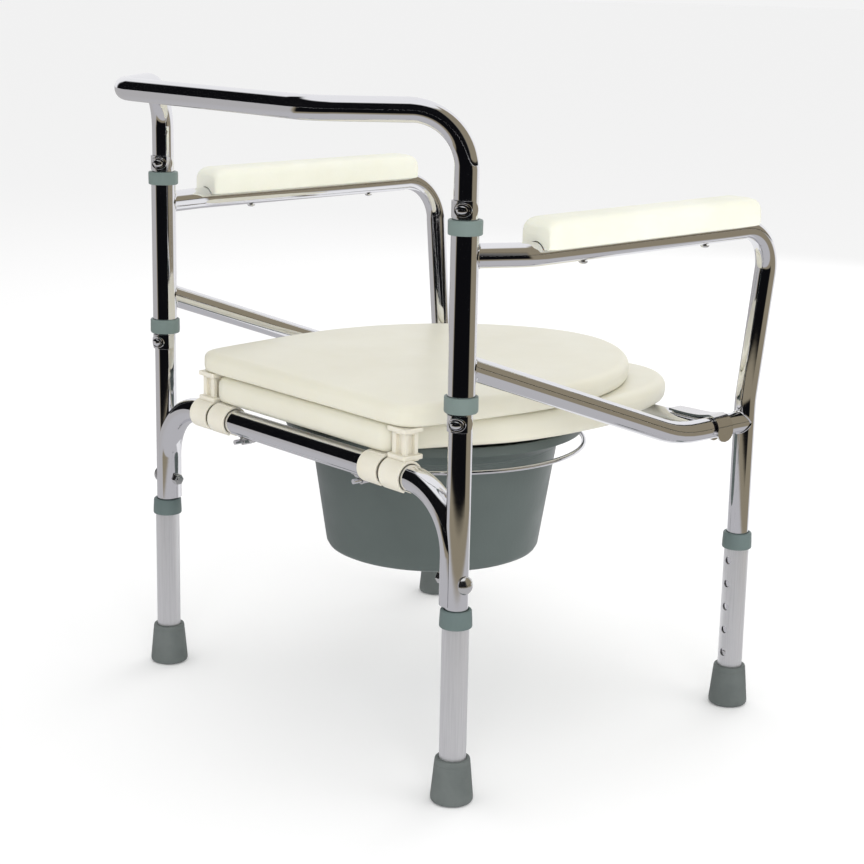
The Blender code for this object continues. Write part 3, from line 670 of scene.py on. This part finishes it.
# ---- arm pads: moulded foam with rounded shoulders and a tube channel ---------------
for side, s in SIDES:
    x = s * ARM_X
    stations = 46
    rings = []
    for i in range(stations + 1):
        t = i / stations
        along = PAD_LENGTH * (0.5 - 0.5 * math.cos(math.pi * t))
        near = min(along, PAD_LENGTH - along)
        round_r = 15.0
        k = 1.0 if near >= round_r else math.sqrt(max(0.0, 1 - (1 - near / round_r) ** 2))
        wide = 22.0 * (0.74 + 0.26 * k)
        high = 27.5 * (0.66 + 0.34 * k)
        if along > PAD_LENGTH / 2:
            high *= 1.0 - 0.10 * (1 - k)
        floor = 515.4 + 0.011 * along
        outline = []
        for a in range(0, 181, 9):
            c, d = math.cos(math.radians(a)), math.sin(math.radians(a))
            u = wide * math.copysign(abs(c) ** 0.42, c)
            v = high * (0.42 + 0.58 * d ** 0.52)
            outline.append((u, v))
        outline = [(wide - 2.4, 0.0), (wide - 0.7, 0.8), (wide, 3.0)] + outline
        outline += [(-wide, 3.0), (-wide + 0.7, 0.8), (-wide + 2.4, 0.0)]
        groove = [(u, v - 4.9) for u, v in arc(11.6, 155, 25, 14)]
        outline += [(u, max(0.0, v)) for u, v in groove]
        rings.append([at(x + u, -67.0 - along, floor + v) for u, v in outline])
    pad = skin("pad_" + side, rings, FOAM, "frame", ["arm_pad_" + side])
    bevel(pad, 2.2, 4, 50)
    for k, y in enumerate((-128.0, -296.0)):
        turned("screw_%s_%d" % (side, k + 1),
               [(0, 26.0), (1.9, 26.0), (1.9, -0.5), (4.4, -0.5), (4.35, -1.3), (3.6, -2.3),
                (2.0, -2.9), (0, -3.0)],
               at(x, y, ARM_Z - 12.0 + 0.011 * (-80.0 - y)), STEEL, "frame",
               ["pad_screw_%s_%d" % (side, k + 1)], 24, False)


# ---- seat and lid -----------------------------------------------------------------------
def smooth_outline(half, count):
    """Evenly spaced closed outline through the points of one half, mirrored."""
    full = list(half) + [(-x, y) for x, y in reversed(half[1:-1])]
    size = len(full)
    dense = []
    for i in range(size):
        p0, p1, p2, p3 = (Vector(full[(i + k) % size]) for k in (-1, 0, 1, 2))
        for q in range(12):
            t = q / 12
            dense.append(0.5 * (2 * p1 + (p2 - p0) * t
                                + (2 * p0 - 5 * p1 + 4 * p2 - p3) * t ** 2
                                + (3 * p1 - p0 - 3 * p2 + p3) * t ** 3))
    lengths = [(dense[(i + 1) % len(dense)] - dense[i]).length for i in range(len(dense))]
    total = sum(lengths)
    points = []
    index, walked = 0, 0.0
    for k in range(count):
        target = total * k / count
        while walked + lengths[index] < target:
            walked += lengths[index]
            index += 1
        step = (target - walked) / lengths[index]
        points.append(dense[index].lerp(dense[(index + 1) % len(dense)], step))
    return points


def inset(points, distance):
    """Move a closed outline inwards by a distance."""
    size = len(points)
    moved = []
    for i in range(size):
        along = (points[(i + 1) % size] - points[i - 1]).normalized()
        inward = Vector((-along.y, along.x))
        if inward.dot(SEAT_MIDDLE - points[i]) < 0:
            inward = -inward
        moved.append(points[i] + inward * distance)
    for _ in range(40):
        crossed = False
        for i in range(size):
            j = (i + 1) % size
            if (moved[j] - moved[i]).dot(points[j] - points[i]) < -1e-9:
                moved[i] = moved[j] = (moved[i] + moved[j]) / 2
                crossed = True
        if not crossed:
            break
    return moved


def shrink(points, factor):
    """Scale an outline about its middle."""
    return [SEAT_MIDDLE + (p - SEAT_MIDDLE) * factor for p in points]


def level(points, height, lift=None):
    """Turn a flat outline into points at a height."""
    return [at(p.x, p.y, height + (lift(p) if lift else 0.0)) for p in points]


SEAT_HALF = [(0, 5.0), (60, 5.0), (120, 5.0), (135, 2.5), (140.5, -6), (141, -16), (146, -32),
             (154, -52), (167, -84), (180, -120), (187, -160), (189, -205), (187, -250),
             (180, -295), (168, -335), (150, -370), (122, -398), (85, -417), (43, -427),
             (0, -430)]
HOLE_HALF = [(0, -62), (50, -68), (88, -92), (110, -135), (117, -190), (113, -245), (95, -300),
             (62, -342), (28, -360), (0, -364)]
LID_HALF = [(0, 5.5), (70, 5.5), (138, 5.5), (159, 3), (169, -8), (174, -34), (180, -80),
            (186, -130), (187.5, -177), (182, -225), (168, -270), (146, -312), (115, -350),
            (76, -380), (36, -398), (0, -403)]
POINTS = 168


def front_dip(p):
    """The seat's top sinks a little at the middle of its front."""
    forward = min(1.0, max(0.0, (-330.0 - p.y) / 70.0))
    return -7.0 * forward * math.exp(-(p.x / 75.0) ** 2)


def front_rise(p):
    """The seat's underside clears the front crossbar."""
    return 5.0 * min(1.0, max(0.0, (-262.0 - p.y) / 20.0))


outer = smooth_outline(SEAT_HALF, POINTS)
hole = smooth_outline(HOLE_HALF, POINTS)
rings = [level(inset(outer, 9.0), 313.3, front_rise), level(inset(outer, 5.0), 313.9, front_rise),
         level(inset(outer, 2.4), 315.6, front_rise), level(inset(outer, 0.8), 318.6, front_rise),
         level(inset(outer, 0.1), 323.0, front_rise)]
for a in range(0, 91, 10):
    c, d = math.cos(math.radians(a)), math.sin(math.radians(a))
    rings.append(level(inset(outer, 12.0 * (1 - c)), 330.8 + 11.2 * d, front_dip))
rings += [level(inset(outer, 20.0), 342.2, front_dip), level(inset(hole, -16.0), 342.1, front_dip)]
for a in range(90, -1, -15):
    c, d = math.cos(math.radians(a)), math.sin(math.radians(a))
    rings.append(level(inset(hole, -11.0 * (1 - c)), 330.0 + 11.8 * d, front_dip))
rings += [level(hole, 324.0), level(inset(hole, -0.6), 319.0, front_rise),
          level(inset(hole, -4.0), 313.3, front_rise)]
skin("seat_moulding", rings, IVORY, "seat", ["seat_ring"], closed=True)

outer = smooth_outline(LID_HALF, POINTS)
rings = [level(shrink(outer, 0.45), 343.4), level(shrink(outer, 0.9), 343.2),
         level(inset(outer, 5.0), 342.8), level(inset(outer, 2.2), 343.3),
         level(inset(outer, 0.8), 344.8), level(outer, 348.5)]
for a in range(0, 91, 10):
    c, d = math.cos(math.radians(a)), math.sin(math.radians(a))
    rings.append(level(inset(outer, 9.5 * (1 - c)), 355.0 + 9.3 * d))
for k, h in ((0.925, 364.75), (0.885, 365.15)):
    rings.append(level(shrink(outer, k), h))
for k, h in ((0.82, 365.5), (0.65, 365.8), (0.45, 365.95), (0.2, 366.0)):
    rings.append(level(shrink(outer, k), h))
skin("lid_moulding", rings, IVORY, "lid", ["lid"])


def rounded_box(half_u, half_v, radius, steps=4):
    """Outline of a rectangle with round corners."""
    points = []
    for su, sv, start in ((1, 1, 0), (-1, 1, 90), (-1, -1, 180), (1, -1, 270)):
        for i in range(steps + 1):
            a = math.radians(start + 90 * i / steps)
            points.append((su * (half_u - radius) + radius * math.cos(a),
                           sv * (half_v - radius) + radius * math.sin(a)))
    return points


def moulded(name, outline, axis, span, place, body, soft, nodes=()):
    """A prism of clamp plastic with soft edges."""
    obj = prism(name, outline, axis, span[0], span[1], place, CLAMP, body, nodes)
    return bevel(obj, soft)


CROSS = [(9.5, 3.6), (9.5, 8.0), (4.1, 8.0), (4.1, 4.0), (-4.1, 4.0), (-4.1, 8.0),
         (-9.5, 8.0), (-9.5, 3.6), (-5.4, 3.6), (-5.4, -3.6), (-9.5, -3.6), (-9.5, -8.0),
         (-4.1, -8.0), (-4.1, -4.0), (4.1, -4.0), (4.1, -8.0), (9.5, -8.0), (9.5, -3.6),
         (5.4, -3.6), (5.4, 3.6)]
SEAT_CLIP = (("neck", rounded_box(11.0, 6.0, 2.0), (13.5, 15.0), 0.2),
             ("plate", rounded_box(12.5, 5.6, 3.0), (14.2, 16.0), 0.4))
LID_CLIP = (("foot", rounded_box(13.3, 11.6, 2.4), (15.0, 19.6), 0.9),
            ("root", rounded_box(11.0, 9.0, 2.4), (13.4, 16.0), 0.4),
            ("post", CROSS, (19.0, 41.6), 0.5),
            ("band", rounded_box(9.4, 7.9, 0.8), (38.6, 41.6), 0.5),
            ("head", rounded_box(13.3, 11.8, 2.0), (41.0, 45.5), 0.7))
for side, s in SIDES:
    ring = arc(15.6, 265, -65, 48) + arc(13.2, -65, 265, 48)
    for body, node, ends, middle, table in (
            ("seat", "seat_clamp_", (109.5, 137.2), (123.4, -1.0), SEAT_CLIP),
            ("lid", "lid_hinge_", (141.8, 169.6), (154.2, -6.5), LID_CLIP)):
        span = sorted((s * ends[0], s * ends[1]))
        parts = [moulded("%s_clip_%s" % (body, side), ring, "X", span, at(0, 0, CROSSBAR_Z),
                         body, 0.7, [node + side])]
        base = at(s * middle[0], middle[1], CROSSBAR_Z)
        for label, outline, span, soft in table:
            parts.append(moulded("%s_clip_%s_%s" % (body, label, side), outline, "Z", span,
                                 base, body, soft))
        join(*parts)

# ---- pail and its ring ------------------------------------------------------------------
turned("bucket",
       [(0, 164.0), (60.0, 164.2), (102.0, 164.2), (107.0, 165.0), (110.3, 167.8),
        (111.5, 173.0), (126.8, 270.0), (128.3, 279.0), (131.0, 283.4), (150.0, 295.2),
        (151.4, 297.5), (151.5, 301.0), (152.2, 302.4), (153.6, 303.0), (155.2, 302.6),
        (156.2, 301.3), (156.3, 294.6), (155.6, 293.4), (154.2, 293.0), (152.6, 293.3),
        (131.4, 280.4), (130.9, 279.2), (130.8, 277.8), (129.2, 276.6), (128.6, 272.0),
        (113.4, 172.0), (112.6, 167.4), (110.6, 163.8), (106.6, 161.9), (102.0, 161.6),
        (97.0, 161.6), (95.5, 163.0), (0, 163.0)],
       at(0, PAIL_Y, 0), PAIL, "pail", ["pail"], 128, False)

bend = [at(u, v, RING_Z) for u, v in arc(157.5, 40, -220, 96, (0.0, PAIL_Y))]
corners = [(at(RING_CLIP_X, 9, RING_Z), 0), (at(RING_CLIP_X, -49.7, RING_Z), 0.040)]
corners += [(p, 0) for p in bend]
corners += [(at(-RING_CLIP_X, -49.7, RING_Z), 0.040), (at(-RING_CLIP_X, 9, RING_Z), 0)]
path, _ = filleted(corners)
skin("ring_wire", sweep(path, 2.5 * MM, 20), CHROME, "frame", ["pail_ring"])
for side, s in SIDES:
    outline = [(-15.0, 4.4), (-15.0, 3.1), (-4.1, 3.1)] + arc(4.1, 180, 360, 20)[1:-1]
    outline += [(4.1, 3.1), (7.0, 3.1), (7.0, 4.4), (2.8, 4.4)] + arc(2.8, 360, 180, 20)
    outline += [(-2.8, 4.4)]
    clip = prism("wire_clip_" + side, [(s * u, v) for u, v in outline], "Y", -5.5, 5.5,
                 at(s * RING_CLIP_X, RING_CLIP_Y, RING_Z), SHEET, "frame",
                 ["ring_clip_" + side])
    bevel(clip, 0.3, 2)
    turned("clip_screw_" + side,
           [(0, 290.5), (1.7, 290.5), (1.7, 281.8), (4.2, 281.8), (4.1, 280.6), (3.2, 279.4),
            (1.8, 278.8), (0, 278.6)],
           at(s * 86.5, RING_CLIP_Y, 0), STEEL, "frame", ["ring_screw_" + side],
           24, False)


# ---- floor, light and surroundings, with painted reflections for the chrome ---------------
def plane(name, half, height, mat):
    """A wide square sheet that is not part of the object."""
    mesh = bpy.data.meshes.new(name)
    mesh.from_pydata([(-half, -half, height), (half, -half, height), (half, half, height),
                      (-half, half, height)], [], [(0, 1, 2, 3)])
    mesh.materials.append(mat)
    obj = bpy.data.objects.new(name, mesh)
    bpy.context.scene.collection.objects.link(obj)
    return obj


paint, _, floor_shader = node_material("floor", (0.98, 0.98, 0.98), 1.0)
floor_shader.inputs["Specular IOR Level"].default_value = 0.0
plane("floor", 60.0, -0.0004, paint)


def area_light(name, place, target, size, power):
    """A soft square light that the chrome does not mirror."""
    data = bpy.data.lights.new(name, "AREA")
    data.shape = "SQUARE"
    data.size = size
    data.energy = power
    obj = bpy.data.objects.new(name, data)
    obj.location = place
    obj.rotation_mode = "QUATERNION"
    obj.rotation_quaternion = (Vector(target) - Vector(place)).to_track_quat("-Z", "Y")
    obj.visible_glossy = False
    bpy.context.scene.collection.objects.link(obj)


KEY_WATTS = 34.0
FILL_WATTS = 16.0
SIDE_WATTS = 8.0
TOP_WATTS = 6.0
area_light("key", (-2.6, 2.0, 1.5), (0, 0, 0.3), 1.8, KEY_WATTS)
area_light("fill", (0.9, -2.8, 1.5), (0, 0, 0.3), 1.8, FILL_WATTS)
area_light("side", (-2.6, -1.2, 1.4), (0, 0, 0.3), 1.8, SIDE_WATTS)
area_light("top", (0.3, -0.2, 3.2), (0, 0, 0.3), 2.4, TOP_WATTS)


class Nodes:
    """Small helpers for building maths in one node tree."""

    def __init__(self, tree):
        self.tree = tree

    def math(self, kind, a, b=None):
        """One maths node."""
        node = self.tree.nodes.new("ShaderNodeMath")
        node.operation = kind
        for socket, value in zip(node.inputs, (a, b)):
            if isinstance(value, (int, float)):
                socket.default_value = value
            elif value is not None:
                self.tree.links.new(value, socket)
        return node.outputs[0]

    def step(self, value, low, high):
        """Smooth step; low above high turns it round."""
        node = self.tree.nodes.new("ShaderNodeMapRange")
        node.interpolation_type = "SMOOTHSTEP"
        flip = low > high
        node.inputs["From Min"].default_value = min(low, high)
        node.inputs["From Max"].default_value = max(low, high)
        node.inputs["To Min"].default_value = 1.0 if flip else 0.0
        node.inputs["To Max"].default_value = 0.0 if flip else 1.0
        self.tree.links.new(value, node.inputs["Value"])
        return node.outputs["Result"]

    def inside(self, value, low, high, soft):
        """1 between two limits, with soft edges."""
        return self.math("MULTIPLY", self.step(value, low - soft, low + soft),
                         self.step(value, high + soft, high - soft))

    def mix(self, fac, a, b):
        """Mix two colours."""
        node = self.tree.nodes.new("ShaderNodeMix")
        node.data_type = "RGBA"
        self.tree.links.new(fac, node.inputs["Factor"])
        for socket, value in ((node.inputs[6], a), (node.inputs[7], b)):
            if isinstance(value, tuple):
                socket.default_value = (*value, 1.0)
            else:
                self.tree.links.new(value, socket)
        return node.outputs[2]

    def bearing(self, x, y):
        """Angle in degrees from the side of the painted dark reflections, positive to its right.
        """
        toward = self.math("ADD", self.math("MULTIPLY", x, -0.7495),
                           self.math("MULTIPLY", y, 0.662))
        right = self.math("ADD", self.math("MULTIPLY", x, -0.662),
                          self.math("MULTIPLY", y, -0.7495))
        return self.math("DEGREES", self.math("ARCTAN2", right, toward))


# colours of the painted reflections that the chrome mirrors
REFLECTED_WHITE = (0.88, 0.88, 0.895)
REFLECTED_LAVENDER = (0.49, 0.485, 0.505)
REFLECTED_PALE = (0.46, 0.45, 0.455)
REFLECTED_TAN = (0.27, 0.235, 0.17)
REFLECTED_BLACK = (0.004, 0.004, 0.005)


def surroundings():
    """White room for light; for glossy rays it paints dark and tan reflections on the mirror
    finish.
    """
    world = bpy.data.worlds.new("studio")
    bpy.context.scene.world = world
    world.use_nodes = True
    tree = world.node_tree
    tree.nodes.clear()
    out = tree.nodes.new("ShaderNodeOutputWorld")
    coords = tree.nodes.new("ShaderNodeTexCoord")
    split = tree.nodes.new("ShaderNodeSeparateXYZ")
    tree.links.new(coords.outputs["Generated"], split.inputs[0])
    x, y, z = split.outputs
    n = Nodes(tree)
    angle = n.bearing(x, y)
    # painted reflections: a tan band, a dark band and a dark rail low down, seen only by glossy
    # rays
    tan_reflection_band = n.math("MULTIPLY", n.inside(angle, 48.0, 128.0, 4.0), n.step(z, 0.90, 0.84))
    dark_reflection_band = n.math("MULTIPLY", n.inside(angle, -138.0, 50.0, 5.0), n.step(z, 0.88, 0.80))
    dark_reflection_rail = n.math("MULTIPLY", n.inside(angle, 40.0, 128.0, 4.0), n.step(z, 0.06, 0.03))
    colour = n.mix(tan_reflection_band, REFLECTED_WHITE, REFLECTED_TAN)
    colour = n.mix(dark_reflection_band, colour, REFLECTED_BLACK)
    colour = n.mix(dark_reflection_rail, colour, REFLECTED_BLACK)
    seen = tree.nodes.new("ShaderNodeBackground")
    tree.links.new(colour, seen.inputs["Color"])
    lit = tree.nodes.new("ShaderNodeBackground")
    lit.inputs["Color"].default_value = (1.0, 1.0, 1.0, 1.0)
    lit.inputs["Strength"].default_value = 0.9
    # glossy rays get the painted reflection colours; all other rays get plain white light
    rays = tree.nodes.new("ShaderNodeLightPath")
    blend = tree.nodes.new("ShaderNodeMixShader")
    tree.links.new(rays.outputs["Is Glossy Ray"], blend.inputs["Fac"])
    tree.links.new(lit.outputs[0], blend.inputs[1])
    tree.links.new(seen.outputs[0], blend.inputs[2])
    tree.links.new(blend.outputs[0], out.inputs["Surface"])


def painted_reflection_card():
    """A card that glows only in reflections: painted reflections below the chrome, a lavender
    sweep with tan and dark beyond it.
    """
    mat = bpy.data.materials.new("painted_reflection_card")
    mat.use_nodes = True
    tree = mat.node_tree
    tree.nodes.clear()
    out = tree.nodes.new("ShaderNodeOutputMaterial")
    glow = tree.nodes.new("ShaderNodeEmission")
    coords = tree.nodes.new("ShaderNodeTexCoord")
    split = tree.nodes.new("ShaderNodeSeparateXYZ")
    tree.links.new(coords.outputs["Object"], split.inputs[0])
    x, y, _ = split.outputs
    n = Nodes(tree)
    angle = n.bearing(x, y)
    reach = n.math("SQRT", n.math("ADD", n.math("MULTIPLY", x, x), n.math("MULTIPLY", y, y)))
    colour = n.mix(n.step(reach, 0.7, 1.5), REFLECTED_LAVENDER, REFLECTED_PALE)
    colour = n.mix(n.step(angle, 100.0, 120.0), colour, REFLECTED_WHITE)
    # painted reflections: a tan band and a dark band further out
    tan_reflection_below = n.math("MULTIPLY", n.inside(angle, -74.0, 104.0, 4.0), n.step(reach, 0.84, 0.98))
    dark_reflection_below = n.math("MULTIPLY", n.inside(angle, -68.0, 52.0, 4.0), n.step(reach, 1.12, 1.32))
    colour = n.mix(tan_reflection_below, colour, REFLECTED_TAN)
    colour = n.mix(dark_reflection_below, colour, REFLECTED_BLACK)
    tree.links.new(colour, glow.inputs["Color"])
    tree.links.new(glow.outputs[0], out.inputs["Surface"])
    card = plane("painted_reflection_card", 40.0, -0.0002, mat)
    # the card glows but is hidden from all but glossy rays: it paints reflections on the chrome
    card.visible_camera = False
    card.visible_diffuse = False
    card.visible_transmission = False
    card.visible_shadow = False


surroundings()
painted_reflection_card()

# ---- finish: true whites, and normals weighted by face area -------------------------------
bpy.context.scene.view_settings.view_transform = "Standard"
for obj in bpy.context.scene.objects:
    if obj.type == "MESH" and obj.name not in ("floor", "painted_reflection_card"):
        mod = obj.modifiers.new("even_normals", "WEIGHTED_NORMAL")
        mod.keep_sharp = True
